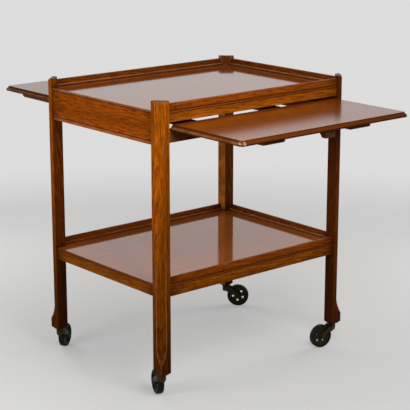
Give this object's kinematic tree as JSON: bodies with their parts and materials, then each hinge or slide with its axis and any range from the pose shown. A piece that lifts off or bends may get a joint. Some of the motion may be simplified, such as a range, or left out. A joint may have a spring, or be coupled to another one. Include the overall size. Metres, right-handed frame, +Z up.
{
  "type": "tea trolley",
  "caption": "Oak tea trolley on swivel castors: galleried trays on square chamfered legs, with draw leaves that slide out from under the upper tray.",
  "frame": {"origin": "on the floor, under the middle of the four legs", "axes": "+X along the long side towards the gallery end, +Y across from front to back, +Z up"},
  "size_m": [0.6718, 0.9892, 0.758],
  "materials": {
    "oak": "satin",
    "tray_board": "polished",
    "leaf_board": "polished",
    "inner_wood": "matte",
    "castor_iron": "dull",
    "screw_steel": "dull",
    "tyre": "matte"
  },
  "bodies": {
    "frame": {"front_left_leg": "oak", "front_right_leg": "oak", "back_right_leg": "oak", "back_left_leg": "oak", "upper_front_rail": "oak", "upper_back_rail": "oak", "left_apron": "oak", "right_apron": "oak", "front_slide_rail": "oak", "back_slide_rail": "oak", "lower_front_rail": "oak", "lower_back_rail": "oak", "lower_left_rail": "oak", "lower_right_rail": "oak", "upper_front_gallery": "oak", "upper_back_gallery": "oak", "upper_right_gallery": "oak", "lower_front_gallery": "oak", "lower_back_gallery": "oak", "lower_right_gallery": "oak", "upper_tray_board": "tray_board", "lower_tray_board": "tray_board", "left_runner": "inner_wood", "right_runner": "inner_wood", "front_guide_bar": "inner_wood", "back_guide_bar": "inner_wood", "front_keeper": "inner_wood", "back_keeper": "inner_wood", "runner_screws": "screw_steel", "front_left_castor_socket": "castor_iron", "front_right_castor_socket": "castor_iron", "back_right_castor_socket": "castor_iron", "back_left_castor_socket": "castor_iron"},
    "front_leaf": {"front_leaf_board": "leaf_board", "front_leaf_left_bearer": "inner_wood", "front_leaf_right_bearer": "inner_wood", "front_leaf_pull": "inner_wood", "front_leaf_screws": "screw_steel"},
    "back_leaf": {"back_leaf_board": "leaf_board", "back_leaf_left_bearer": "inner_wood", "back_leaf_right_bearer": "inner_wood", "back_leaf_pull": "inner_wood", "back_leaf_screws": "screw_steel"},
    "front_left_castor": {"front_left_castor_fork": "castor_iron", "front_left_castor_axle": "castor_iron"},
    "front_left_wheel": {"front_left_castor_wheel": "castor_iron", "front_left_castor_tyre": "tyre"},
    "front_right_castor": {"front_right_castor_fork": "castor_iron", "front_right_castor_axle": "castor_iron"},
    "front_right_wheel": {"front_right_castor_wheel": "castor_iron", "front_right_castor_tyre": "tyre"},
    "back_right_castor": {"back_right_castor_fork": "castor_iron", "back_right_castor_axle": "castor_iron"},
    "back_right_wheel": {"back_right_castor_wheel": "castor_iron", "back_right_castor_tyre": "tyre"},
    "back_left_castor": {"back_left_castor_fork": "castor_iron", "back_left_castor_axle": "castor_iron"},
    "back_left_wheel": {"back_left_castor_wheel": "castor_iron", "back_left_castor_tyre": "tyre"}
  },
  "joints": [
    {"name": "front_leaf_slide", "type": "slide", "parent": "frame", "child": "front_leaf", "axis": [0, 1, 0], "range_m": [0, 0.2363]},
    {"name": "back_leaf_slide", "type": "slide", "parent": "frame", "child": "back_leaf", "axis": [0, -1, 0], "range_m": [0, 0.2363]},
    {"name": "front_left_swivel", "type": "hinge", "parent": "frame", "child": "front_left_castor", "pos_m": [-0.3015, -0.2253, 0.06005], "axis": [0, 0, 1], "continuous": true},
    {"name": "front_left_spin", "type": "hinge", "parent": "front_left_castor", "child": "front_left_wheel", "pos_m": [-0.28768, -0.18929, 0.03175], "axis": [-0.9336, 0.3584, 0], "continuous": true},
    {"name": "front_right_swivel", "type": "hinge", "parent": "frame", "child": "front_right_castor", "pos_m": [0.3015, -0.2253, 0.06005], "axis": [0, 0, 1], "continuous": true},
    {"name": "front_right_spin", "type": "hinge", "parent": "front_right_castor", "child": "front_right_wheel", "pos_m": [0.26352, -0.2186, 0.03175], "axis": [-0.1736, -0.9848, 0], "continuous": true},
    {"name": "back_right_swivel", "type": "hinge", "parent": "frame", "child": "back_right_castor", "pos_m": [0.3015, 0.2253, 0.06005], "axis": [0, 0, 1], "continuous": true},
    {"name": "back_right_spin", "type": "hinge", "parent": "back_right_castor", "child": "back_right_wheel", "pos_m": [0.3278, 0.19709, 0.03175], "axis": [0.7314, 0.682, 0], "continuous": true},
    {"name": "back_left_swivel", "type": "hinge", "parent": "frame", "child": "back_left_castor", "pos_m": [-0.3015, 0.2253, 0.06005], "axis": [0, 0, 1], "continuous": true},
    {"name": "back_left_spin", "type": "hinge", "parent": "back_left_castor", "child": "back_left_wheel", "pos_m": [-0.26991, 0.24742, 0.03175], "axis": [-0.5736, 0.8192, 0], "continuous": true}
  ]
}
